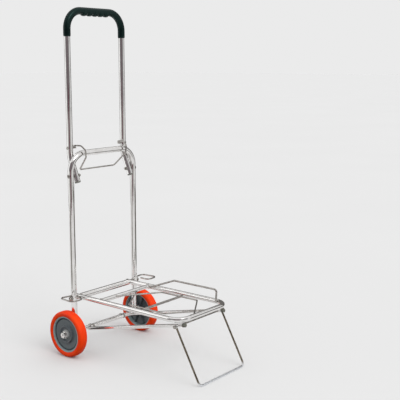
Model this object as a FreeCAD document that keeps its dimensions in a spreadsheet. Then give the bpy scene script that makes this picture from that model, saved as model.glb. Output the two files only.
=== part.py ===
import FreeCAD, Part
import math
import os
import Sketcher

# Folding luggage cart. +Z is up, the platform reaches towards -Y, X runs along the axle.
# Every shape is drawn about the axle's plane (y = 0 there) and then placed by axle_y, so that the
# origin lies on the floor at the middle of the cart's outline.

V = FreeCAD.Vector
doc = FreeCAD.newDocument("luggage_cart")

# ---------------------------------------------------------------- driving dimensions

DIMENSIONS = [
    ("axle_y", 211, "from the origin back to the axle's plane"),
    ("tube_d", 19, "frame and handle tube"),
    ("tube_wall", 1.5, "wall of every bent tube"),
    ("bend_r", 57, "centreline radius of the large bends"),
    ("frame_half", 141, "middle of the cart to an upright's centreline"),
    ("frame_foot_z", 64, "open lower ends of the uprights"),
    ("top_bar_z", 651, "centreline of the frame's top bar"),
    ("wheel_d", 150, "tyre's outside"),
    ("wheel_w", 32, "tyre's width"),
    ("wheel_x", 169, "middle of the cart to a wheel's middle"),
    ("hub_d", 118, "hub rim, where the tyre sits"),
    ("axle_d", 10, "axle rod"),
    ("axle_half", 195.5, "half the axle rod"),
    ("sleeve_d", 13, "sleeve round the axle, between the uprights"),
    ("crossbar_z", 187, "crossbar and platform pivot"),
    ("rod_d", 8, "platform pivot rod"),
    ("platform_half", 117, "middle to a platform side tube"),
    ("platform_d", 16, "platform side tube"),
    ("platform_reach", 424, "pivot to the front bar's centreline"),
    ("platform_bend_r", 42, "centreline radius of the platform's front corners"),
    ("rear_tube_y", 92, "pivot to the rear cross tube"),
    ("rear_tube_d", 14, "rear cross tube"),
    ("middle_rod_y", 237, "pivot to the middle rod"),
    ("middle_rod_d", 8, "middle rod"),
    ("deck_wire_d", 5, "bent deck wires"),
    ("rail_d", 6, "guard rail wire"),
    ("rail_top_z", 228, "guard rail's height above the floor"),
    ("strut_d", 11, "strut rod"),
    ("strut_reach", 404, "axle to the stand's pivot rod"),
    ("strut_front_z", 166, "height of the stand's pivot rod"),
    ("strut_tip", 22, "strut leg beyond the stand's pivot rod"),
    ("strut_front_half", 94, "middle to a strut leg at the stand's pivot rod"),
    ("strut_rear_half", 103, "middle to a strut leg at the axle"),
    ("strut_offset", 13, "strut's cross rod in front of the axle"),
    ("stand_rod_d", 6, "stand's pivot rod"),
    ("stand_rod_half", 119, "half the stand's pivot rod"),
    ("stand_sleeve_d", 10, "sleeves that carry the stand on its pivot rod"),
    ("stand_d", 6, "stand wire"),
    ("stand_half", 110, "middle to a stand leg"),
    ("stand_reach", 494, "axle to the stand's foot"),
    ("handle_half", 120, "middle to a handle leg"),
    ("handle_back", 24, "handle legs behind the frame's plane"),
    ("handle_pivot_z", 582, "handle pivot bolts"),
    ("handle_top_z", 1094, "centreline of the handle's top"),
    ("grip_d", 23, "grip's outside"),
    ("grip_end_z", 1014, "lower ends of the grip"),
    ("pin_z", 668, "latch pins in the handle legs"),
    ("pin_d", 6, "latch pins"),
    ("latch_d", 5, "latch wire"),
    ("hook_d", 5, "tie-down hook wire"),
    ("hook_z", 196, "tie-down hooks"),
    ("bolt_d", 6, "handle pivot bolts"),
    ("gap", 0.3, "clearance between parts that move"),
    ("running", 0.08, "radial clearance of a shaft in its hole"),
]

sheet = doc.addObject("Spreadsheet::Sheet", "dims")
for row, (alias, value, note) in enumerate(DIMENSIONS, start=2):
    sheet.set("A%d" % row, alias)
    sheet.set("B%d" % row, str(value))
    sheet.set("C%d" % row, note)
    sheet.setAlias("B%d" % row, alias)
doc.recompute()


def size(alias):
    """Reads one driving dimension, in millimetres."""
    return float(sheet.get(alias))


parts = []


def keep(obj, label):
    """Names a finished sub-part and places it relative to the axle's plane."""
    obj.Label = label
    obj.Placement = FreeCAD.Placement(V(0, size("axle_y"), 0), FreeCAD.Rotation())
    obj.setExpression("Placement.Base.y", "dims.axle_y")
    parts.append(obj)
    return obj


# ---------------------------------------------------------------- Part Design helpers


def plane_of(body, role):
    """Finds one of the body's own origin planes."""
    return next(f for f in body.Origin.OriginFeatures if f.Role == role)


def sketch_on(body, role, name):
    sketch = body.newObject("Sketcher::SketchObject", name)
    sketch.AttachmentSupport = (plane_of(body, role), [""])
    sketch.MapMode = "FlatFace"
    return sketch


def add_circle(sketch, diameter, centre=("0 mm", "0 mm")):
    """Adds a circle whose diameter and centre follow expressions."""
    index = sketch.addGeometry(Part.Circle(V(1, 1, 0), V(0, 0, 1), 5), False)
    settings = [
        (Sketcher.Constraint("Diameter", index, 10.0), diameter),
        (Sketcher.Constraint("DistanceX", -1, 1, index, 3, 1.0), centre[0]),
        (Sketcher.Constraint("DistanceY", -1, 1, index, 3, 1.0), centre[1]),
    ]
    for constraint, expression in settings:
        number = sketch.addConstraint(constraint)
        sketch.setExpression("Constraints[%d]" % number, expression)


def lathe_part(label, outer, bore, inner_x, outer_x, z, y="0 mm", both_sides=True):
    """A round piece along X from inner_x to outer_x, bored unless bore is None, and mirrored if asked."""
    body = doc.addObject("PartDesign::Body", label)
    body.AllowCompound = True
    sketch = sketch_on(body, "YZ_Plane", label + "_section")
    add_circle(sketch, outer, (y, z))
    if bore is not None:
        add_circle(sketch, bore, (y, z))
    sketch.setExpression("AttachmentOffset.Base.z", inner_x)
    pad = body.newObject("PartDesign::Pad", label + "_length")
    pad.Profile = sketch
    pad.setExpression("Length", "(%s) - (%s)" % (outer_x, inner_x))
    body.Tip = pad
    if both_sides:
        other = body.newObject("PartDesign::Mirrored", label + "_other_side")
        other.Originals = [pad]
        other.MirrorPlane = (plane_of(body, "YZ_Plane"), [""])
        body.Tip = other
    return keep(body, label)


def rod_across(label, diameter, half_length, z, y="0 mm", bore=None):
    """A rod or sleeve right across the cart, centred."""
    return lathe_part(label, diameter, bore, "-(%s)" % half_length, half_length, z, y, both_sides=False)


# ---------------------------------------------------------------- bent wire and tube helpers


def corner_arc(before, corner, after, radius):
    """Start, middle and end of the arc that rounds one corner."""
    to_before = (before - corner).normalize()
    to_after = (after - corner).normalize()
    half_angle = to_before.getAngle(to_after) / 2
    reach = radius / math.tan(half_angle)
    inward = (to_before + to_after).normalize()
    start = corner + to_before * reach
    end = corner + to_after * reach
    middle = corner + inward * (radius / math.sin(half_angle) - radius)
    return start, middle, end


def bent_path(points, radii):
    """Straight runs joined by tangent arcs; radii holds one radius for each inner point."""
    edges = []
    here = points[0]
    for before, corner, after, radius in zip(points, points[1:], points[2:], radii):
        start, middle, end = corner_arc(before, corner, after, radius)
        if (start - here).Length > 1e-6:
            edges.append(Part.LineSegment(here, start).toShape())
        edges.append(Part.Arc(start, middle, end).toShape())
        here = end
    edges.append(Part.LineSegment(here, points[-1]).toShape())
    return Part.Wire(edges)


def swept(path, diameter):
    """A round section carried along a bent path."""
    first = path.OrderedEdges[0]
    start = first.valueAt(first.FirstParameter)
    direction = first.tangentAt(first.FirstParameter)
    section = Part.Wire([Part.makeCircle(diameter / 2, start, direction)])
    return path.makePipeShell([section], True, False)


def both_halves(half):
    """Completes a path: half of it, from one end to the middle, followed by its mirror image."""
    return half + [V(-p.x, p.y, p.z) for p in reversed(half)]


def cylinder_x(diameter, x_from, x_to, y, z):
    return Part.makeCylinder(diameter / 2, x_to - x_from, V(x_from, y, z), V(1, 0, 0))


def feature(label, shape):
    obj = doc.addObject("Part::Feature", label)
    obj.Shape = shape
    return keep(obj, label)


def tube(path, diameter):
    """A bent tube with open ends."""
    return swept(path, diameter).cut(swept(path, diameter - 2 * size("tube_wall")))


def bored(shape, holes):
    """Cuts round holes along X: each is (diameter, y, z)."""
    reach = size("axle_half")
    for diameter, y, z in holes:
        shape = shape.cut(cylinder_x(diameter, -reach, reach, y, z))
    return shape


TUBE_R = size("tube_d") / 2
GAP = size("gap")
RUN = 2 * size("running")
AXLE_Z = size("wheel_d") / 2
PIVOT_Z = size("crossbar_z")
FRAME_X = size("frame_half")
FRAME_OUTSIDE = FRAME_X + TUBE_R

# ---------------------------------------------------------------- main frame

frame_half = [
    V(-FRAME_X, 0, size("frame_foot_z")),
    V(-FRAME_X, 0, size("top_bar_z")),
]
frame_path = bent_path(both_halves(frame_half), [size("bend_r")] * 2)
frame_holes = [
    (size("axle_d"), 0, AXLE_Z),
    (size("rod_d"), 0, PIVOT_Z),
    (size("bolt_d"), 0, size("handle_pivot_z")),
]
feature("main_frame", bored(tube(frame_path, size("tube_d")), frame_holes))


def tube_plug(x, y, z, direction, diameter, stem):
    """A moulded cap on a tube's open end with a stem inside it."""
    wall = size("tube_wall")
    head = Part.makeCylinder(diameter / 2, 2.5, V(x, y, z), direction)
    core = Part.makeCylinder(diameter / 2 - wall, stem, V(x, y, z), direction * -1)
    return head.fuse(core).removeSplitter()


FLOORWARD = V(0, 0, -1)
PLUG_STEM = 5
frame_plugs = [
    tube_plug(side * FRAME_X, 0, size("frame_foot_z"), FLOORWARD, size("tube_d"), PLUG_STEM)
    for side in (-1, 1)
]
feature("frame_end_plugs", Part.Compound(frame_plugs))

# Tie-down hooks: a wire leaves each upright, turns forward and curls back towards the upright.
HOOK_OUT = 52
HOOK_LENGTH = 56
HOOK_WIDTH = 40


def tie_down_hook(side):
    root_x = FRAME_X
    points = [
        V(root_x, 0, 0),
        V(root_x + HOOK_OUT, 10, 0),
        V(root_x + HOOK_OUT + 5, -HOOK_LENGTH + 3, 0),
        V(root_x + HOOK_OUT - HOOK_WIDTH, -HOOK_LENGTH, 0),
        V(root_x + HOOK_OUT - HOOK_WIDTH, -HOOK_LENGTH / 2 + 8, 0),
    ]
    placed = [V(side * p.x, p.y, size("hook_z")) for p in points]
    wire = swept(bent_path(placed, [14, 16, 14]), size("hook_d"))
    upright = Part.makeCylinder(TUBE_R, 60, V(side * root_x, 0, size("hook_z") - 30))
    return wire.cut(upright)


feature("tie_down_hook_left", tie_down_hook(-1))
feature("tie_down_hook_right", tie_down_hook(1))

# ---------------------------------------------------------------- axle and crossbar

axle_z = "dims.wheel_d / 2"
frame_outside = "dims.frame_half + dims.tube_d / 2"
frame_inside = "dims.frame_half - dims.tube_d / 2"
hub_inside = "dims.wheel_x - dims.wheel_w / 2"
hub_outside = "dims.wheel_x + dims.wheel_w / 2"

rod_across("axle", "dims.axle_d", "dims.axle_half", axle_z)
rod_across("axle_sleeve", "dims.sleeve_d", frame_inside + " - 0.02", axle_z, bore="dims.axle_d")
lathe_part("axle_spacers", "dims.axle_d + 6", "dims.axle_d", frame_outside, hub_inside + " - 0.2", axle_z)
lathe_part(
    "axle_washers",
    "dims.axle_d + 12",
    "dims.axle_d",
    hub_outside + " + 0.2",
    hub_outside + " + 1.8",
    axle_z,
)

rod_across("platform_pivot_rod", "dims.rod_d", "dims.frame_half + 18", "dims.crossbar_z")
rod_across(
    "crossbar",
    "dims.tube_d",
    "dims.platform_half - dims.platform_d / 2 - dims.gap",
    "dims.crossbar_z",
    bore="dims.rod_d",
)
lathe_part(
    "pivot_spacers",
    "dims.rod_d + 6",
    "dims.rod_d",
    "dims.platform_half + dims.platform_d / 2 + dims.gap",
    frame_inside,
    "dims.crossbar_z",
)


def hexagon_nut(flat_width, hole, thickness, seat, direction, dome):
    """A hexagon nut along X that reaches from its seat in one direction; a dome closes an acorn nut."""
    x, y, z = seat
    corner = flat_width / math.sqrt(3)
    ring = [V(0, corner * math.cos(k * math.pi / 3), corner * math.sin(k * math.pi / 3)) for k in range(7)]
    nut = Part.Face(Part.makePolygon(ring)).extrude(V(thickness, 0, 0))
    cone_reach = thickness + corner - 0.6
    nut = nut.common(Part.makeCone(cone_reach + 0.6, 0.6, cone_reach, V(), V(1, 0, 0)))
    if dome:
        ball = Part.makeSphere(flat_width * 0.43, V(thickness + dome - flat_width * 0.43, 0, 0))
        nut = nut.fuse(ball.common(cylinder_x(flat_width, thickness - 1, thickness + dome, 0, 0)))
        nut = nut.removeSplitter()
    nut = nut.cut(cylinder_x(hole, -1, thickness + dome - 2 if dome else thickness + 1, 0, 0))
    if direction < 0:
        nut = nut.mirror(V(), V(1, 0, 0))
    nut.translate(V(x, y, z))
    return nut


def nut_pair(label, flat_width, hole, thickness, seat, outward=1, dome=0):
    """The same nut on both sides of the cart; seat is (x, y, z) of the right one's seat."""
    x, y, z = seat
    nuts = [
        hexagon_nut(flat_width, hole, thickness, (side * x, y, z), side * outward, dome)
        for side in (-1, 1)
    ]
    return feature(label, Part.Compound(nuts))


WHEEL_OUTSIDE = size("wheel_x") + size("wheel_w") / 2
nut_pair("axle_nuts", 17, size("axle_d"), 7, (WHEEL_OUTSIDE + 1.8, 0, AXLE_Z), dome=4)
nut_pair("pivot_rod_nuts", 13, size("rod_d"), 6.5, (FRAME_OUTSIDE, 0, PIVOT_Z), dome=5)

# ---------------------------------------------------------------- handle pivot bolts

BOLT_Z = size("handle_pivot_z")
HANDLE_X = size("handle_half")


def handle_bolt(side):
    """Round-headed bolt through an upright and the handle leg beside it."""
    head = Part.makeSphere(7, V(FRAME_OUTSIDE - 3, 0, BOLT_Z))
    head = head.common(cylinder_x(16, FRAME_OUTSIDE, FRAME_OUTSIDE + 8, 0, BOLT_Z))
    shank = cylinder_x(size("bolt_d"), HANDLE_X - TUBE_R - 9, FRAME_OUTSIDE, 0, BOLT_Z)
    bolt = head.fuse(shank).removeSplitter()
    return bolt if side > 0 else bolt.mirror(V(), V(1, 0, 0))


feature("handle_pivot_bolts", Part.Compound([handle_bolt(side) for side in (-1, 1)]))
lathe_part(
    "handle_pivot_washers",
    "dims.bolt_d + 7",
    "dims.bolt_d",
    "dims.handle_half + dims.tube_d / 2 + dims.gap",
    frame_inside,
    "dims.handle_pivot_z",
)
nut_pair("handle_pivot_nuts", 10, size("bolt_d"), 5.5, (HANDLE_X - TUBE_R - GAP, 0, BOLT_Z), outward=-1)

# ---------------------------------------------------------------- handle

BACK = size("handle_back")
LEG_SLOPE = 0.42
LEG_BEND_R = 80
LEG_END_Z = BOLT_Z - 19
BEND_Z = BOLT_Z + BACK / LEG_SLOPE
handle_leg = [
    V(-HANDLE_X, (LEG_END_Z - BOLT_Z) * LEG_SLOPE, LEG_END_Z),
    V(-HANDLE_X, BACK, BEND_Z),
    V(-HANDLE_X, BACK, size("handle_top_z")),
]
handle_radii = [LEG_BEND_R, size("bend_r"), size("bend_r"), LEG_BEND_R]
handle_path = bent_path(both_halves(handle_leg), handle_radii)
handle_holes = [
    (size("bolt_d") + RUN, 0, BOLT_Z),
    (size("pin_d"), BACK, size("pin_z")),
]
feature("handle_tube", bored(tube(handle_path, size("tube_d")), handle_holes))

LEG_AXIS = V(0, -LEG_SLOPE, -1).normalize()
handle_plugs = [
    tube_plug(side * HANDLE_X, handle_leg[0].y, LEG_END_Z, LEG_AXIS, size("tube_d"), 3)
    for side in (-1, 1)
]
feature("handle_end_plugs", Part.Compound(handle_plugs))

# Moulded grip: a sleeve round the handle's top with rounded finger ridges under the bar.
RIDGE_COUNT = 5
RIDGE_PITCH = 24
RIDGE_R = 5
RIDGE_DROP = 4
grip_half = [
    V(-HANDLE_X, BACK, size("grip_end_z")),
    V(-HANDLE_X, BACK, size("handle_top_z")),
]
grip_path = bent_path(both_halves(grip_half), [size("bend_r")] * 2)
grip = swept(grip_path, size("grip_d"))
for k in range(RIDGE_COUNT):
    ridge_x = (k - (RIDGE_COUNT - 1) / 2) * RIDGE_PITCH
    centre = V(ridge_x, BACK, size("handle_top_z") - RIDGE_DROP)
    ridge = Part.makeTorus(size("grip_d") / 2 - RIDGE_R, RIDGE_R, centre, V(1, 0, 0))
    grip = grip.fuse(ridge)
grip = grip.cut(swept(grip_path, size("tube_d")))
feature("handle_grip", grip)

# Latch pins: headed pins fixed across the handle legs; the latch hooks over their inner ends.
PIN_INNER = 96
PIN_OUTER = HANDLE_X + TUBE_R


def latch_pin(side):
    shank = cylinder_x(size("pin_d"), PIN_INNER, PIN_OUTER, BACK, size("pin_z"))
    head = cylinder_x(size("pin_d") + 4, PIN_OUTER, PIN_OUTER + 1.6, BACK, size("pin_z"))
    pin = shank.fuse(head).removeSplitter()
    return pin if side > 0 else pin.mirror(V(), V(1, 0, 0))


feature("latch_pins", Part.Compound([latch_pin(side) for side in (-1, 1)]))

# ---------------------------------------------------------------- latch

# The latch wire is carried by the frame's top bar. Each arm starts over a handle pin, passes over
# the bar, comes down in front of it and runs back under it to the finger bar behind.
LATCH_ARM_X = 101
LATCH_BAR_X = 78
PIN_RADIUS = size("pin_d") / 2
OVER_PIN = PIN_RADIUS + size("latch_d") / 2 + 0.4
latch_arm = [
    V(-LATCH_ARM_X, BACK + OVER_PIN * 0.95, size("pin_z") + OVER_PIN * 0.75),
    V(-LATCH_ARM_X, BACK - 2, size("pin_z") + OVER_PIN * 1.12),
    V(-LATCH_ARM_X + 4, -2, size("top_bar_z") + 24),
    V(-LATCH_ARM_X + 8, -17.5, size("top_bar_z") + 11),
    V(-LATCH_ARM_X + 11, -17, size("top_bar_z") - 12),
    V(-LATCH_BAR_X, 26, size("top_bar_z") - 56),
]
ARM_RADII = [9, 12, 9, 8, 8]
latch_path = bent_path(both_halves(latch_arm), ARM_RADII + ARM_RADII[::-1])
feature("latch_wire", swept(latch_path, size("latch_d")))

# ---------------------------------------------------------------- platform

SIDE_X = size("platform_half")
SIDE_R = size("platform_d") / 2
SIDE_BACK = 9
platform_half = [
    V(-SIDE_X, SIDE_BACK, PIVOT_Z),
    V(-SIDE_X, -size("platform_reach"), PIVOT_Z),
]
platform_path = bent_path(both_halves(platform_half), [size("platform_bend_r")] * 2)
platform_solid = swept(platform_path, size("platform_d"))
platform_holes = [(size("rod_d") + RUN, 0, PIVOT_Z)]
feature("platform_frame", bored(tube(platform_path, size("platform_d")), platform_holes))

platform_plugs = [
    tube_plug(side * SIDE_X, SIDE_BACK, PIVOT_Z, V(0, 1, 0), size("platform_d"), 4)
    for side in (-1, 1)
]
feature("platform_end_plugs", Part.Compound(platform_plugs))

REAR_Y = -size("rear_tube_y")
MIDDLE_Y = -size("middle_rod_y")
MIDDLE_Z = PIVOT_Z - size("deck_wire_d") - size("middle_rod_d") / 2 - 0.3
rear_tube = cylinder_x(size("rear_tube_d"), -SIDE_X, SIDE_X, REAR_Y, PIVOT_Z)
feature("rear_cross_tube", rear_tube.cut(platform_solid))
middle_rod = cylinder_x(size("middle_rod_d"), -SIDE_X, SIDE_X, MIDDLE_Y, MIDDLE_Z)
feature("middle_rod", middle_rod.cut(platform_solid))


def deck_wire(side):
    """One bent deck wire: it crosses its mirror image twice, one wire above the other."""
    wire_r = size("deck_wire_d") / 2
    z = PIVOT_Z + side * (wire_r + 0.1)
    front = -size("platform_reach")
    points = [
        V(-side * 52, front, z),
        V(side * 79, front + 92, z),
        V(side * 79, REAR_Y - 92, z),
        V(-side * 56, REAR_Y, z),
    ]
    wire = swept(bent_path(points, [12, 12]), size("deck_wire_d"))
    return wire.cut(platform_solid).cut(rear_tube)


feature("deck_wire_left", deck_wire(-1))
feature("deck_wire_right", deck_wire(1))

RAIL_X = SIDE_X - SIDE_R - size("rail_d") / 2 + 0.8
rail_points = [
    V(RAIL_X, -105, PIVOT_Z),
    V(RAIL_X, -213, size("rail_top_z")),
    V(RAIL_X, -388, size("rail_top_z")),
    V(RAIL_X, -385, PIVOT_Z),
]
guard_rail = swept(bent_path(rail_points, [14, 9]), size("rail_d"))
feature("guard_rail", guard_rail.cut(platform_solid))

# ---------------------------------------------------------------- strut

STAND_PIVOT = V(0, -size("strut_reach"), size("strut_front_z"))
strut_line = (STAND_PIVOT - V(0, 0, AXLE_Z)).normalize()
strut_bar = V(0, 0, AXLE_Z) + strut_line * size("strut_offset")
strut_tip = STAND_PIVOT + strut_line * size("strut_tip")
strut_half = [
    V(-size("strut_front_half"), strut_tip.y, strut_tip.z),
    V(-size("strut_rear_half"), strut_bar.y, strut_bar.z),
]
strut_rod = swept(bent_path(both_halves(strut_half), [20, 20]), size("strut_d"))
feature("strut_frame", bored(strut_rod, [(size("stand_rod_d"), STAND_PIVOT.y, STAND_PIVOT.z)]))

LUG_X = 70
LUG_THICKNESS = 4


def strut_lug(x):
    """A flat link that hangs the strut's cross rod from the axle sleeve."""
    end = x + LUG_THICKNESS
    eye = cylinder_x(size("sleeve_d") + 5, x, end, 0, AXLE_Z)
    foot = cylinder_x(size("strut_d") + 4, x, end, strut_bar.y, strut_bar.z)
    lug = eye.fuse(foot).removeSplitter()
    lug = lug.cut(cylinder_x(size("sleeve_d") + RUN, x - 1, end + 1, 0, AXLE_Z))
    return lug.cut(cylinder_x(size("strut_d"), x - 1, end + 1, strut_bar.y, strut_bar.z))


feature("strut_lugs", Part.Compound([strut_lug(-LUG_X - LUG_THICKNESS), strut_lug(LUG_X)]))


def strut_end_cap(side):
    """A cap pushed over the front tip of a strut leg."""
    outward = (strut_half[0] - strut_half[1]).normalize()
    cap = Part.makeCylinder(size("strut_d") / 2 + 0.8, 9, strut_half[0] - outward * 7.5, outward)
    cap = cap.cut(strut_rod)
    return cap.mirror(V(), V(1, 0, 0)) if side > 0 else cap


feature("strut_end_caps", Part.Compound([strut_end_cap(side) for side in (-1, 1)]))

# ---------------------------------------------------------------- stand

rod_across(
    "stand_pivot_rod",
    "dims.stand_rod_d",
    "dims.stand_rod_half",
    "dims.strut_front_z",
    "-dims.strut_reach",
)
cap_inside = "dims.stand_rod_half - 4"
lathe_part(
    "stand_rod_caps",
    "dims.stand_sleeve_d",
    "dims.stand_rod_d",
    cap_inside,
    "dims.stand_rod_half",
    "dims.strut_front_z",
    "-dims.strut_reach",
)
lathe_part(
    "stand_sleeves",
    "dims.stand_sleeve_d",
    "dims.stand_rod_d + 2 * dims.running",
    "dims.strut_front_half + dims.strut_d / 2 + 2",
    cap_inside + " - dims.gap",
    "dims.strut_front_z",
    "-dims.strut_reach",
)
stand_half = [
    V(-size("stand_half"), STAND_PIVOT.y, STAND_PIVOT.z),
    V(-size("stand_half"), -size("stand_reach"), size("stand_d") / 2),
]
stand_wire = swept(bent_path(both_halves(stand_half), [14, 14]), size("stand_d"))
SLEEVE_END = size("stand_rod_half")
sleeve_space = cylinder_x(size("stand_sleeve_d"), -SLEEVE_END, SLEEVE_END, STAND_PIVOT.y, STAND_PIVOT.z)
feature("stand_wire", stand_wire.cut(sleeve_space))

# ---------------------------------------------------------------- wheels


def turned(label, outline, side):
    """Turns an outline of (radius, distance outward from the wheel's middle) about the axle."""
    body = doc.addObject("PartDesign::Body", label)
    sketch = sketch_on(body, "XZ_Plane", label + "_section")
    points = [V(side * reach, radius, 0) for radius, reach in outline]
    count = len(points)
    for k, point in enumerate(points):
        sketch.addGeometry(Part.LineSegment(point, points[(k + 1) % count]), False)
    for k in range(count):
        sketch.addConstraint(Sketcher.Constraint("Coincident", k, 2, (k + 1) % count, 1))
    sketch.setExpression("AttachmentOffset.Base.x", "%d * dims.wheel_x" % side)
    sketch.setExpression("AttachmentOffset.Base.y", "dims.wheel_d / 2")
    turn = body.newObject("PartDesign::Revolution", label + "_turn")
    turn.Profile = sketch
    turn.ReferenceAxis = (sketch, ["H_Axis"])
    turn.Angle = 360
    body.Tip = turn
    return keep(body, label)


TYRE_R = size("wheel_d") / 2
HUB_R = size("hub_d") / 2
HALF_W = size("wheel_w") / 2
BUSH_R = size("axle_d") / 2 + 3


def rounded_shoulder(steps=6):
    """Tread outline from the outer side to the inner side, with round shoulders."""
    shoulder = 9
    outline = []
    for sign in (1, -1):
        arc = []
        for k in range(steps + 1):
            angle = k * math.pi / 2 / steps
            radius = TYRE_R - shoulder + shoulder * math.sin(angle)
            reach = HALF_W - shoulder + shoulder * math.cos(angle)
            arc.append((radius, sign * reach))
        outline += arc if sign > 0 else arc[::-1]
    return outline


tyre_outline = [(HUB_R, HALF_W - 3)] + rounded_shoulder() + [(HUB_R, -HALF_W + 3)]
hub_outline = [
    (BUSH_R, -HALF_W),
    (BUSH_R, HALF_W),
    (16, HALF_W),
    (17, HALF_W - 7),
    (40, HALF_W - 9),
    (46, HALF_W - 7),
    (49, HALF_W - 2.5),
    (HUB_R, HALF_W - 3),
    (HUB_R, -HALF_W + 3),
    (49, -HALF_W + 2.5),
    (46, -HALF_W + 7),
    (40, -HALF_W + 9),
    (17, -HALF_W + 7),
    (16, -HALF_W),
]

for name, side in (("left", -1), ("right", 1)):
    turned("tyre_" + name, tyre_outline, side)
    turned("hub_" + name, hub_outline, side)
    lathe_part(
        "hub_bush_" + name,
        "dims.axle_d + 6",
        "dims.axle_d + 2 * dims.running",
        hub_inside if side > 0 else "-(%s)" % hub_outside,
        hub_outside if side > 0 else "-(%s)" % hub_inside,
        axle_z,
        both_sides=False,
    )

# ---------------------------------------------------------------- checks and export

doc.recompute()
for obj in doc.Objects:
    if "Invalid" in obj.State or "Error" in obj.State:
        raise RuntimeError("%s failed: %s" % (obj.Label, obj.State))
for obj in parts:
    shape = obj.Shape
    if shape.isNull() or not shape.isValid() or not shape.Solids:
        raise RuntimeError("%s has no valid solid" % obj.Label)
    if any(solid.Volume <= 0 for solid in shape.Solids):
        raise RuntimeError("%s is inside out" % obj.Label)

os.makedirs("parts", exist_ok=True)
for obj in parts:
    obj.Shape.exportStep("parts/%s.step" % obj.Label)
    print("%-22s %d solid(s) %9.0f mm3" % (obj.Label, len(obj.Shape.Solids), obj.Shape.Volume))
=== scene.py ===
import math
import random

import bmesh
import bpy
from mathutils import Matrix, Vector


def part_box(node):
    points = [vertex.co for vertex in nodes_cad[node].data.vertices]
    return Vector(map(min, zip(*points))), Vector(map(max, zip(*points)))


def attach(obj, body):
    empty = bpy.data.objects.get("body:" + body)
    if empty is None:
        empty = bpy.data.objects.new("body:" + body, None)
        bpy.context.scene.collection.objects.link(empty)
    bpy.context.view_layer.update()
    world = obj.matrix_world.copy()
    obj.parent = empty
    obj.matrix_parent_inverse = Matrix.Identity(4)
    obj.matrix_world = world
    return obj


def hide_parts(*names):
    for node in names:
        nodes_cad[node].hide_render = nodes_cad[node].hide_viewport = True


# Folding luggage cart, unfolded. Metres; +Z is up and the platform reaches towards -Y.

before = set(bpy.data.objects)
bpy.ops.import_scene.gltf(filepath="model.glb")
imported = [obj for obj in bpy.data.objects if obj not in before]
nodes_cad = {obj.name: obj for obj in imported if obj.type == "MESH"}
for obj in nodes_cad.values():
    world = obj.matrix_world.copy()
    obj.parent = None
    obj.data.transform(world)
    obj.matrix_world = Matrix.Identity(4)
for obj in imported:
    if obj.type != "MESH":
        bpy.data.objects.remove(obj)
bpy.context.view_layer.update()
random.seed(7)

MM = 0.001

# ---------------------------------------------------------------- places taken from the CAD


def middle(node):
    low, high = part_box(node)
    return (low + high) / 2


AXLE = middle("axle")
WHEEL_X = abs(middle("tyre_right").x)
TYRE_R = (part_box("tyre_right")[1].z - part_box("tyre_right")[0].z) / 2
TYRE_HALF = (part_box("tyre_right")[1].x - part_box("tyre_right")[0].x) / 2
UPRIGHT_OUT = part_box("main_frame")[1].x
TUBE_R = 9.5 * MM
UPRIGHT_X = UPRIGHT_OUT - TUBE_R
PIVOT = middle("platform_pivot_rod")
SIDE_R = middle("platform_frame").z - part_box("platform_frame")[0].z
SIDE_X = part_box("platform_frame")[1].x - SIDE_R

# ---------------------------------------------------------------- material helpers


def material(name):
    """A new node material; returns it with its tree and its Principled shader."""
    mat = bpy.data.materials.new(name)
    mat.use_nodes = True
    tree = mat.node_tree
    return mat, tree, tree.nodes["Principled BSDF"]


def node(tree, kind, **settings):
    """A new shader node; each setting is an attribute, or an input with _ for a space."""
    made = tree.nodes.new(kind)
    for key, value in settings.items():
        if hasattr(made, key):
            setattr(made, key, value)
        else:
            made.inputs[key.replace("_", " ")].default_value = value
    return made


def place(tree, stretch=(1, 1, 1)):
    """The piece's own coordinates, stretched."""
    coords = tree.nodes.new("ShaderNodeTexCoord")
    mapping = tree.nodes.new("ShaderNodeMapping")
    mapping.inputs["Scale"].default_value = stretch
    tree.links.new(coords.outputs["Object"], mapping.inputs["Vector"])
    return mapping.outputs["Vector"]


def noise(tree, vector, scale, detail=4.0, roughness=0.55):
    made = node(tree, "ShaderNodeTexNoise", Scale=scale, Detail=detail, Roughness=roughness)
    tree.links.new(vector, made.inputs["Vector"])
    return made.outputs["Fac"]


def spread(tree, value, low, high, start=0.3, end=0.7):
    """Maps a 0 to 1 value onto low to high."""
    made = node(tree, "ShaderNodeMapRange", From_Min=start, From_Max=end, To_Min=low, To_Max=high)
    tree.links.new(value, made.inputs["Value"])
    return made.outputs["Result"]


def colours(tree, value, stops):
    """A colour ramp through (place, colour) stops."""
    ramp = tree.nodes.new("ShaderNodeValToRGB")
    elements = ramp.color_ramp.elements
    while len(elements) < len(stops):
        elements.new(0.5)
    for element, (where, colour) in zip(elements, stops):
        element.position = where
        element.color = (*colour, 1)
    tree.links.new(value, ramp.inputs["Fac"])
    return ramp.outputs["Color"]


def bump(tree, shader, height, strength, distance):
    made = node(tree, "ShaderNodeBump", Strength=strength, Distance=distance)
    tree.links.new(height, made.inputs["Height"])
    tree.links.new(made.outputs["Normal"], shader.inputs["Normal"])


def scratches(tree, vector, scale, width):
    """Thin random lines: the borders of large cells."""
    cells = node(tree, "ShaderNodeTexVoronoi", feature="DISTANCE_TO_EDGE", Scale=scale)
    tree.links.new(vector, cells.inputs["Vector"])
    return spread(tree, cells.outputs["Distance"], 1.0, 0.0, 0.0, width)


def add(tree, first, second, share=1.0):
    """first + second * share."""
    made = node(tree, "ShaderNodeMath", operation="MULTIPLY_ADD")
    made.inputs[1].default_value = share
    tree.links.new(second, made.inputs[0])
    tree.links.new(first, made.inputs[2])
    return made.outputs["Value"]


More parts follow.
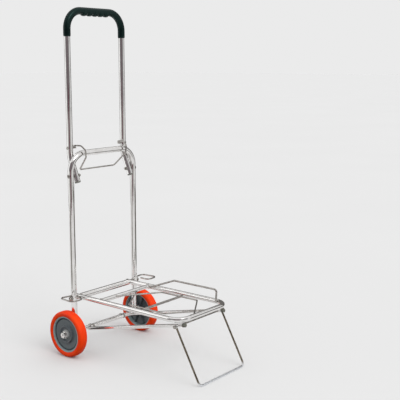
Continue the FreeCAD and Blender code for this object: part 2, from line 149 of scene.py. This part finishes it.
def metal(name, dark, light, rough_low, rough_high, smudge=28.0):
    """Polished or plated metal: cloudy reflection, fine grain and hairline scratches."""
    mat, tree, shader = material(name)
    shader.inputs["Metallic"].default_value = 1.0
    here = place(tree)
    clouds = noise(tree, here, smudge, 5.0)
    grain = noise(tree, place(tree, (1, 1, 0.15)), 1400.0, 2.0)
    lines = scratches(tree, here, 46.0, 0.004)
    tree.links.new(colours(tree, clouds, [(0.35, dark), (0.65, light)]), shader.inputs["Base Color"])
    rough = spread(tree, clouds, rough_low, rough_high, 0.35, 0.7)
    rough = add(tree, rough, lines, 0.12)
    rough = add(tree, rough, grain, 0.03)
    tree.links.new(rough, shader.inputs["Roughness"])
    bump(tree, shader, add(tree, grain, lines, -0.6), 0.05, 0.0004)
    return mat


def plastic(name, dark, light, rough, grain_scale, grain_strength, specular=0.5):
    """Moulded plastic or rubber with fine grain; returns it with its tree and its shader."""
    mat, tree, shader = material(name)
    here = place(tree)
    clouds = noise(tree, here, 22.0, 4.0)
    grain = noise(tree, here, grain_scale, 3.0)
    tree.links.new(colours(tree, clouds, [(0.3, dark), (0.7, light)]), shader.inputs["Base Color"])
    tree.links.new(spread(tree, clouds, rough - 0.06, rough + 0.08), shader.inputs["Roughness"])
    shader.inputs["Specular IOR Level"].default_value = specular
    bump(tree, shader, grain, grain_strength, 0.0006)
    return mat, tree, shader


# ---------------------------------------------------------------- materials

steel = metal("polished_steel", (0.76, 0.745, 0.73), (0.86, 0.85, 0.84), 0.05, 0.11)
wire_steel = metal("drawn_wire", (0.34, 0.32, 0.30), (0.50, 0.48, 0.455), 0.10, 0.18, 60.0)
zinc = metal("plated_hardware", (0.22, 0.205, 0.19), (0.44, 0.42, 0.39), 0.16, 0.34, 160.0)
bright_zinc = metal("bright_hardware", (0.66, 0.65, 0.63), (0.86, 0.85, 0.84), 0.14, 0.3, 160.0)
bead_metal = metal("weld_bead", (0.40, 0.37, 0.34), (0.70, 0.68, 0.65), 0.22, 0.45, 420.0)

black_plastic = plastic("black_plastic", (0.012, 0.013, 0.015), (0.03, 0.03, 0.034), 0.42, 900, 0.2)[0]
grey_plastic = plastic("grey_plastic", (0.10, 0.10, 0.08), (0.17, 0.17, 0.14), 0.4, 900, 0.2)[0]
grip_rubber, _, grip_shader = plastic(
    "grip_rubber", (0.0008, 0.004, 0.004), (0.002, 0.009, 0.008), 0.3, 1500, 0.2, 0.26
)
grip_shader.inputs["Specular Tint"].default_value = (0.55, 1.0, 0.92, 1)


def radial(tree):
    """Distance from the axle's line, in metres."""
    coords = tree.nodes.new("ShaderNodeTexCoord")
    split = tree.nodes.new("ShaderNodeSeparateXYZ")
    tree.links.new(coords.outputs["Object"], split.inputs["Vector"])
    flat = tree.nodes.new("ShaderNodeCombineXYZ")
    tree.links.new(split.outputs["Y"], flat.inputs["Y"])
    tree.links.new(split.outputs["Z"], flat.inputs["Z"])
    away = node(tree, "ShaderNodeVectorMath", operation="DISTANCE")
    away.inputs[1].default_value = (0, AXLE.y, AXLE.z)
    tree.links.new(flat.outputs["Vector"], away.inputs[0])
    return away.outputs["Value"]


def tyre_material():
    """Cast polyurethane: even orange-red, slightly scuffed where it rolls."""
    mat, tree, shader = plastic(
        "orange_tyre", (0.93, 0.040, 0.001), (1.0, 0.062, 0.002), 0.5, 500, 0.1, 0.16
    )
    here = place(tree)
    worn = spread(tree, radial(tree), 0.0, 1.0, TYRE_R - 1.2 * MM, TYRE_R)
    scuffs = noise(tree, here, 210.0, 6.0, 0.7)
    tread = node(tree, "ShaderNodeMath", operation="MULTIPLY")
    tree.links.new(worn, tread.inputs[0])
    tree.links.new(spread(tree, scuffs, 0.0, 0.55, 0.5, 0.75), tread.inputs[1])
    old = shader.inputs["Base Color"].links[0].from_socket
    mix = node(tree, "ShaderNodeMix", data_type="RGBA")
    mix.inputs[7].default_value = (0.80, 0.07, 0.015, 1)
    tree.links.new(tread.outputs["Value"], mix.inputs[0])
    tree.links.new(old, mix.inputs[6])
    tree.links.new(mix.outputs[2], shader.inputs["Base Color"])
    shader.inputs["Subsurface Weight"].default_value = 0.08
    shader.inputs["Subsurface Radius"].default_value = (0.004, 0.001, 0.0005)
    return mat


def hub_painted_light_material():
    """Grey moulded nylon with a paler rim; a painted highlight round the nut, painted shade in the rim's
    groove and round the boss.
    """
    mat, tree, shader = plastic(
        "hub_plastic", (0.085, 0.10, 0.12), (0.135, 0.155, 0.18), 0.38, 700, 0.15
    )
    rings = spread(tree, radial(tree), 0.0, 1.0, 0.0, TYRE_R)
    # Painted light by radius: the light centre round the nut is a painted highlight; the dark step just
    # outside it is painted shade in the recess round the boss; the dark ring just inside the pale rim is
    # painted shade in the rim's groove.
    hub_tones_and_painted_light = colours(
        tree,
        rings,
        [
            (0.10, (0.50, 0.50, 0.49)),
            (0.19, (0.40, 0.41, 0.41)),
            (0.225, (0.10, 0.115, 0.13)),
            (0.62, (0.125, 0.15, 0.16)),
            (0.690, (0.05, 0.065, 0.08)),
            (0.712, (0.26, 0.34, 0.35)),
            (0.78, (0.34, 0.43, 0.44)),
        ],
    )
    clouds = colours(tree, noise(tree, place(tree), 90.0, 5.0), [(0.3, (0.8, 0.8, 0.8)), (0.7, (1, 1, 1))])
    mix = node(tree, "ShaderNodeMix", data_type="RGBA", blend_type="MULTIPLY")
    mix.inputs[0].default_value = 1.0
    tree.links.new(hub_tones_and_painted_light, mix.inputs[6])
    tree.links.new(clouds, mix.inputs[7])
    tree.links.new(mix.outputs[2], shader.inputs["Base Color"])
    return mat


tyre_orange = tyre_material()
hub_grey_painted_light = hub_painted_light_material()


def stand_painted_reflection_material():
    """Drawn wire whose legs are painted dark bronze, a painted dark reflection; the foot bar is painted
    pale, a painted bright reflection.
    """
    # The legs' dark bronze base colour is a painted dark reflection.
    mat = metal("stand_wire", (0.17, 0.145, 0.105), (0.27, 0.235, 0.18), 0.2, 0.34, 60.0)
    tree = mat.node_tree
    shader = tree.nodes["Principled BSDF"]
    old = shader.inputs["Base Color"].links[0].from_socket
    coords = tree.nodes.new("ShaderNodeTexCoord")
    split = tree.nodes.new("ShaderNodeSeparateXYZ")
    tree.links.new(coords.outputs["Object"], split.inputs["Vector"])
    # Painted reflection: below 16 mm the foot bar's colour turns pale.
    foot_painted_reflection_mask = spread(tree, split.outputs["Z"], 1.0, 0.0, 6 * MM, 16 * MM)
    mix = node(tree, "ShaderNodeMix", data_type="RGBA")
    mix.inputs[7].default_value = (0.80, 0.82, 0.85, 1)
    tree.links.new(foot_painted_reflection_mask, mix.inputs[0])
    tree.links.new(old, mix.inputs[6])
    tree.links.new(mix.outputs[2], shader.inputs["Base Color"])
    return mat


stand_painted_reflection_steel = stand_painted_reflection_material()

CAD_FINISH = {
    steel: [
        "main_frame", "handle_tube", "platform_frame", "crossbar", "rear_cross_tube",
        "axle_sleeve", "strut_frame", "stand_sleeves", "axle", "platform_pivot_rod",
    ],
    wire_steel: [
        "middle_rod", "deck_wire_left", "deck_wire_right", "guard_rail", "latch_wire",
        "tie_down_hook_left", "tie_down_hook_right", "strut_lugs",
    ],
    stand_painted_reflection_steel: ["stand_wire"],
    bright_zinc: ["axle_nuts", "axle_washers"],
    zinc: [
        "axle_spacers", "pivot_rod_nuts", "pivot_spacers",
        "handle_pivot_bolts", "handle_pivot_washers", "handle_pivot_nuts", "latch_pins",
        "hub_bush_left", "hub_bush_right", "stand_pivot_rod", "stand_rod_caps",
    ],
    black_plastic: ["frame_end_plugs", "platform_end_plugs"],
    grey_plastic: ["handle_end_plugs", "strut_end_caps"],
}
for finish, names in CAD_FINISH.items():
    for name in names:
        mesh = nodes_cad[name].data
        mesh.materials.clear()
        mesh.materials.append(finish)

# ---------------------------------------------------------------- mesh helpers


def piece(name, bm, mats, body, sharp=40.0):
    """Turns a bmesh into a smooth-shaded piece that rides on a CAD body."""
    mesh = bpy.data.meshes.new(name)
    bmesh.ops.recalc_face_normals(bm, faces=bm.faces)
    bm.to_mesh(mesh)
    bm.free()
    for mat in mats:
        mesh.materials.append(mat)
    mesh.shade_smooth()
    mesh.set_sharp_from_angle(angle=math.radians(sharp))
    obj = bpy.data.objects.new(name, mesh)
    bpy.context.scene.collection.objects.link(obj)
    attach(obj, body)
    return obj


def lathe(bm, profile, side, segments=128):
    """Turns a closed profile of (distance outward from the wheel's middle, radius) about the axle."""
    rings = []
    for outward, radius in profile:
        x = side * (WHEEL_X + outward)
        ring = []
        for k in range(segments):
            a = 2 * math.pi * k / segments
            ring.append(bm.verts.new((x, AXLE.y + radius * math.cos(a), AXLE.z + radius * math.sin(a))))
        rings.append(ring)
    for ring, following in zip(rings, rings[1:] + rings[:1]):
        for k in range(segments):
            n = (k + 1) % segments
            bm.faces.new((ring[k], ring[n], following[n], following[k]))
    return bm


# ---------------------------------------------------------------- wheels


def tyre_profile():
    """Round-shouldered tread with two fine grooves and a moulding line, then the bead inside."""
    shoulder = 8.5 * MM
    steps = 10
    outer = []
    for k in range(steps + 1):
        a = math.pi / 2 * k / steps
        reach = TYRE_HALF - shoulder + shoulder * math.cos(a)
        outer.append((reach, TYRE_R - 0.35 * MM - shoulder + shoulder * math.sin(a)))
    groove = [
        (6.2 * MM, TYRE_R - 0.2 * MM),
        (5.9 * MM, TYRE_R - 0.7 * MM),
        (5.3 * MM, TYRE_R - 0.7 * MM),
        (5.0 * MM, TYRE_R - 0.15 * MM),
    ]
    seam = [(0.5 * MM, TYRE_R - 0.1 * MM), (0.25 * MM, TYRE_R)]
    bead = [
        (TYRE_HALF - 3.6 * MM, 58.6 * MM),
        (TYRE_HALF - 1.6 * MM, 59.2 * MM),
        (TYRE_HALF - 0.9 * MM, 60.4 * MM),
        (TYRE_HALF - 0.4 * MM, 62.5 * MM),
    ]
    half = bead + outer + groove + seam
    return half + [(-reach, radius) for reach, radius in reversed(half)]


# The hub's outline as (reach outward from the wheel's middle, radius), in millimetres.
HUB_OUTER = [
    (16.0, 8.2), (16.0, 12.2), (15.3, 13.0), (9.6, 14.4), (8.9, 15.2), (8.6, 16.6), (8.6, 21.4),
    (9.2, 22.6), (12.6, 23.6), (13.4, 24.3), (13.5, 26.6), (12.9, 27.6), (7.4, 29.4), (6.6, 30.8),
    (6.9, 40.0), (8.3, 47.6), (8.0, 48.8), (5.3, 49.8), (4.9, 50.8), (5.4, 51.6), (11.6, 53.2),
    (12.6, 53.9), (13.1, 55.0), (13.1, 58.0), (12.5, 58.7),
]
HUB_INNER = [
    (-12.5, 58.7), (-13.1, 58.0), (-13.1, 56.2), (-12.5, 55.2), (-3.4, 52.6), (-2.0, 51.4),
    (-1.4, 49.5), (-1.4, 18.5), (-2.4, 16.8), (-15.0, 13.8), (-15.8, 13.1), (-16.0, 12.2), (-16.0, 8.2),
]
RIB_COUNT = 8


def hub(bm, side):
    profile = [(reach * MM, radius * MM) for reach, radius in HUB_OUTER + HUB_INNER]
    lathe(bm, profile, side)
    for k in range(RIB_COUNT):
        a = 2 * math.pi * (k + 0.5) / RIB_COUNT
        along = Vector((0, math.cos(a), math.sin(a)))
        across = Vector((0, -math.sin(a), math.cos(a)))
        corners = []
        for radius, depth, half in ((15.5, 12.5, 1.6), (52.8, 8.5, 1.2)):
            for reach, width in ((-0.8, half), (-depth, half * 0.7)):
                for sign in (-1, 1):
                    centre = Vector((side * (WHEEL_X + reach * MM), AXLE.y, AXLE.z))
                    corners.append(bm.verts.new(centre + along * radius * MM + across * sign * width * MM))
        for quad in ((0, 1, 3, 2), (4, 6, 7, 5), (0, 4, 5, 1), (2, 3, 7, 6), (0, 2, 6, 4), (1, 5, 7, 3)):
            bm.faces.new([corners[i] for i in quad])


for name, side in (("left", -1), ("right", 1)):
    body = "wheel_" + name
    tyre = piece("tyre_detail_" + name, lathe(bmesh.new(), tyre_profile(), side, 160), [tyre_orange], body)
    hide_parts("tyre_" + name)
    shape = bmesh.new()
    hub(shape, side)
    disc = piece("hub_detail_" + name, shape, [hub_grey_painted_light], body, 28.0)
    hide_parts("hub_" + name)

# ---------------------------------------------------------------- grip

GRIP_LOW, GRIP_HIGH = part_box("handle_grip")
HANDLE_LOW, HANDLE_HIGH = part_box("handle_tube")
GRIP_X = HANDLE_HIGH.x - TUBE_R
GRIP_R = GRIP_HIGH.x - GRIP_X
GRIP_Y = HANDLE_HIGH.y - TUBE_R
GRIP_TOP = HANDLE_HIGH.z - TUBE_R
GRIP_BEND = 57 * MM
RIDGE_PITCH = 24 * MM
RIDGES = [(k - 2) * RIDGE_PITCH for k in range(5)]
RIDGE_HALF = 8.0 * MM
RIDGE_DEPTH = 4.4 * MM
LEG_STEPS = 8
BAR_STEPS = 144


def grip_path(steps=24):
    """Points and directions along the grip, from one leg's lower end over the top to the other's."""
    straight = GRIP_X - GRIP_BEND
    line = []
    leg = GRIP_TOP - GRIP_BEND - GRIP_LOW.z
    for k in range(LEG_STEPS + 1):
        line.append((Vector((-GRIP_X, GRIP_Y, GRIP_LOW.z + leg * k / LEG_STEPS)), 0.0))
    for k in range(1, steps):
        a = math.pi / 2 * k / steps
        centre = Vector((-straight, GRIP_Y, GRIP_TOP - GRIP_BEND))
        line.append((centre + Vector((-math.cos(a), 0, math.sin(a))) * GRIP_BEND, a))
    for k in range(BAR_STEPS + 1):
        line.append((Vector((-straight + 2 * straight * k / BAR_STEPS, GRIP_Y, GRIP_TOP)), math.pi / 2))
    first_half = line[: LEG_STEPS + steps]
    return line + [(Vector((-p.x, p.y, p.z)), math.pi - a) for p, a in reversed(first_half)]


def ridge_height(x):
    """Rounded teeth under the bar for the fingers."""
    best = 0.0
    for centre in RIDGES:
        away = abs(x - centre) / RIDGE_HALF
        if away < 1:
            best = max(best, RIDGE_DEPTH * math.sqrt(1 - away ** 4))
    return best


def grip_mesh():
    """The grip as rings along its path, with rounded ends and teeth under the bar."""
    bm = bmesh.new()
    around = 40
    line = grip_path()
    rings = []
    length = len(line)
    for i, (point, angle) in enumerate(line):
        along = Vector((math.sin(angle), 0, math.cos(angle)))
        inward = Vector((math.cos(angle), 0, -math.sin(angle)))
        to_end = min((point - line[0][0]).length, (point - line[-1][0]).length)
        rounding = min(1.0, to_end / (2.0 * MM))
        radius = GRIP_R - 1.4 * MM * (1 - math.sqrt(1 - (1 - rounding) ** 2))
        if 3.2 * MM < to_end < 5.2 * MM and min(i, length - 1 - i) <= LEG_STEPS:
            radius -= 0.5 * MM
        tooth = ridge_height(point.x) if abs(angle - math.pi / 2) < 1e-6 else 0.0
        ring = []
        for k in range(around):
            a = 2 * math.pi * k / around
            under = max(0.0, math.cos(a)) ** 1.3
            reach = radius + tooth * under
            sideways = Vector((0, math.sin(a) * reach, 0))
            ring.append(bm.verts.new(point + inward * math.cos(a) * reach + sideways))
        rings.append(ring)
    for ring, following in zip(rings, rings[1:]):
        for k in range(around):
            n = (k + 1) % around
            bm.faces.new((ring[k], ring[n], following[n], following[k]))
    for ring, (point, _) in ((rings[0], line[0]), (rings[-1], line[-1])):
        inner = []
        for vert in ring:
            out = (vert.co - point).normalized()
            inner.append(bm.verts.new(point + out * TUBE_R + Vector((0, 0, 1.5 * MM))))
        for k in range(around):
            n = (k + 1) % around
            bm.faces.new((ring[k], inner[k], inner[n], ring[n]))
    return bm


grip = piece("grip_detail", grip_mesh(), [grip_rubber], "handle", 50.0)
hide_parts("handle_grip")

# ---------------------------------------------------------------- weld beads


def weld(name, body, centre, direction, radius, bead=1.2):
    """A rippled bead where a wire or tube is welded on: a ring about direction, sizes in millimetres."""
    turn = Vector((0, 0, 1)).rotation_difference(Vector(direction).normalized()).to_matrix().to_4x4()
    base = Matrix.Translation(Vector(centre)) @ turn
    bm = bmesh.new()
    around, section = 36, 8
    rings = []
    for k in range(around):
        a = 2 * math.pi * k / around
        size = bead * MM * (0.8 + 0.25 * abs(math.sin(k * 1.35)) + random.uniform(-0.08, 0.12))
        middle_r = radius * MM + size * 0.25
        ring = []
        for j in range(section):
            b = 2 * math.pi * j / section
            out = middle_r + size * math.cos(b)
            spot = Vector((out * math.cos(a), out * math.sin(a), size * 0.9 * math.sin(b)))
            ring.append(bm.verts.new(base @ spot))
        rings.append(ring)
    for ring, following in zip(rings, rings[1:] + rings[:1]):
        for j in range(section):
            n = (j + 1) % section
            bm.faces.new((ring[j], ring[n], following[n], following[j]))
    made = piece(name, bm, [bead_metal], body, 60.0)


REAR = middle("rear_cross_tube")
HOOK = middle("tie_down_hook_right")
STAND_LOW, STAND_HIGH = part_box("stand_wire")
SLEEVE = middle("stand_sleeves")
WIRE_R = 3 * MM
REAR_TUBE_R = 7 * MM
STAND_X = STAND_HIGH.x - WIRE_R
FOOT = Vector((0, STAND_LOW.y + WIRE_R, WIRE_R))
RAIL_LOW, RAIL_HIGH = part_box("guard_rail")
RAIL_X = RAIL_HIGH.x - WIRE_R
FRONT_BAR_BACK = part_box("platform_frame")[0].y + 2 * SIDE_R

for side, name in ((-1, "left"), (1, "right")):
    weld("bead_rear_tube_" + name, "platform", (side * (SIDE_X - SIDE_R), REAR.y, REAR.z), (1, 0, 0), 7, 1.3)
    weld("bead_hook_" + name, "frame", (side * UPRIGHT_OUT, AXLE.y + 1.8 * MM, HOOK.z), (1, 0, 0), 2.5)
    weld("bead_sleeve_" + name, "frame", (side * (UPRIGHT_X - TUBE_R), AXLE.y, AXLE.z), (1, 0, 0), 6.5)
    leg = (Vector((0, FOOT.y, FOOT.z)) - Vector((0, SLEEVE.y, SLEEVE.z))).normalized()
    top = Vector((side * STAND_X, SLEEVE.y, SLEEVE.z)) + leg * 5.4 * MM
    weld("bead_stand_" + name, "stand", top, leg, 3, 1.1)
    wire_z = PIVOT.z + side * 2.6 * MM
    slant = (0.8, 0.6, 0)
    front_end = (-side * 53.5 * MM, FRONT_BAR_BACK, wire_z)
    rear_end = (-side * 47 * MM, REAR.y - REAR_TUBE_R, wire_z)
    weld("bead_wire_front_" + name, "platform", front_end, slant, 2.5, 1.0)
    weld("bead_wire_rear_" + name, "platform", rear_end, slant, 2.5, 1.0)

weld("bead_rail_rear", "platform", (RAIL_X, RAIL_HIGH.y - 4 * MM, PIVOT.z + 4 * MM), (0, -0.93, 0.36), 3)
weld("bead_rail_front", "platform", (RAIL_X, RAIL_LOW.y + 5 * MM, PIVOT.z + 5 * MM), (0, 0, 1), 3)

# ---------------------------------------------------------------- floor, light and reflections


def stage_mesh(name, corners, faces, mat):
    mesh = bpy.data.meshes.new(name)
    mesh.from_pydata(corners, [], faces)
    mesh.materials.append(mat)
    obj = bpy.data.objects.new(name, mesh)
    bpy.context.scene.collection.objects.link(obj)
    return obj


def floor_material():
    """Matt pale floor with a very faint cloudy tint."""
    mat, tree, shader = material("pale_floor")
    clouds = noise(tree, place(tree), 0.8, 2.0)
    tint = colours(tree, clouds, [(0.3, (0.755, 0.755, 0.755)), (0.7, (0.765, 0.765, 0.765))])
    tree.links.new(tint, shader.inputs["Base Color"])
    shader.inputs["Roughness"].default_value = 0.9
    shader.inputs["Specular IOR Level"].default_value = 0.0
    return mat


REACH = 60.0
floor_corners = [(-REACH, -REACH, 0), (REACH, -REACH, 0), (REACH, REACH, 0), (-REACH, REACH, 0)]
floor = stage_mesh("floor", floor_corners, [(0, 1, 2, 3)], floor_material())
floor.visible_diffuse = False


def reflected_wall(name, azimuth, half_angle, distance, low, high, colour):
    """A curved wall seen only in reflections, centred on an azimuth from the platform's front."""
    mat, tree, shader = material(name + "_paint")
    shader.inputs["Base Color"].default_value = (0, 0, 0, 1)
    shader.inputs["Specular IOR Level"].default_value = 0.0
    shader.inputs["Emission Color"].default_value = (*colour, 1)
    shader.inputs["Emission Strength"].default_value = 1.0
    steps = 24
    corners, faces = [], []
    for k in range(steps + 1):
        a = math.radians(azimuth + half_angle * (2 * k / steps - 1))
        for z in (low, high):
            corners.append((distance * math.sin(a), -distance * math.cos(a), z))
    for k in range(steps):
        faces.append((2 * k, 2 * k + 2, 2 * k + 3, 2 * k + 1))
    wall = stage_mesh(name, corners, faces, mat)
    wall.visible_camera = False
    wall.visible_diffuse = False
    wall.visible_shadow = False
    wall.visible_transmission = False


CAMERA_AZIMUTH = -51.33
reflected_wall("dark_doorway", CAMERA_AZIMUTH - 4, 20, 2.55, 0.0, 0.8, (0.12, 0.045, 0.06))
reflected_wall("dim_doorway", CAMERA_AZIMUTH - 2, 34, 2.6, 0.8, 3.0, (0.17, 0.14, 0.15))
reflected_wall("grey_wall", CAMERA_AZIMUTH, 74, 2.8, 0.62, 3.0, (0.24, 0.235, 0.24))
reflected_wall("grey_skirting", CAMERA_AZIMUTH, 68, 2.9, 0.0, 0.62, (0.50, 0.50, 0.485))
reflected_wall("back_wall", CAMERA_AZIMUTH + 180, 62, 2.9, 0.0, 2.6, (0.17, 0.165, 0.16))
reflected_wall("left_window", CAMERA_AZIMUTH - 92, 18, 2.7, 0.0, 3.0, (1.25, 1.25, 1.25))
reflected_wall("low_board_left", CAMERA_AZIMUTH - 62, 24, 1.0, 0.0, 0.36, (0.26, 0.25, 0.235))
reflected_wall("low_board_right", CAMERA_AZIMUTH + 118, 38, 1.0, 0.0, 0.36, (0.13, 0.125, 0.115))

world = bpy.data.worlds.new("studio")
bpy.context.scene.world = world
world.use_nodes = True
sky = world.node_tree.nodes["Background"]
direction = world.node_tree.nodes.new("ShaderNodeTexCoord")
parts = world.node_tree.nodes.new("ShaderNodeSeparateXYZ")
world.node_tree.links.new(direction.outputs["Generated"], parts.inputs["Vector"])
height = spread(world.node_tree, parts.outputs["Z"], 0.0, 1.0, -0.06, -0.02)
shade = colours(world.node_tree, height, [(0.0, (0.10, 0.10, 0.10)), (1.0, (0.83, 0.83, 0.83))])
world.node_tree.links.new(shade, sky.inputs["Color"])


def sun(name, azimuth, elevation, strength, angle):
    """Soft light from a direction; azimuth 0 stands in front of the platform."""
    data = bpy.data.lights.new(name, "SUN")
    data.energy = strength
    data.angle = math.radians(angle)
    obj = bpy.data.objects.new(name, data)
    bpy.context.scene.collection.objects.link(obj)
    a, e = math.radians(azimuth), math.radians(elevation)
    towards = Vector((math.sin(a) * math.cos(e), -math.cos(a) * math.cos(e), math.sin(e)))
    obj.rotation_mode = "QUATERNION"
    obj.rotation_quaternion = towards.to_track_quat("Z", "Y")


sun("key", -8, 38, 1.3, 40)

# ---------------------------------------------------------------- camera

camera_data = bpy.data.cameras.new("camera")
camera_data.sensor_width = 36.0
camera_data.lens = 73.77
camera_data.clip_end = 200.0
camera = bpy.data.objects.new("camera", camera_data)
bpy.context.scene.collection.objects.link(camera)
CAMERA_TILT = 9.502
azimuth, tilt = math.radians(CAMERA_AZIMUTH), math.radians(CAMERA_TILT)
looking = Vector((-math.sin(azimuth) * math.cos(tilt), math.cos(azimuth) * math.cos(tilt), -math.sin(tilt)))
camera.location = (-1.8786, -1.6988, 0.9335)
camera.rotation_mode = "QUATERNION"
camera.rotation_quaternion = looking.to_track_quat("-Z", "Y")
bpy.context.scene.camera = camera
bpy.context.scene.view_settings.view_transform = "Standard"
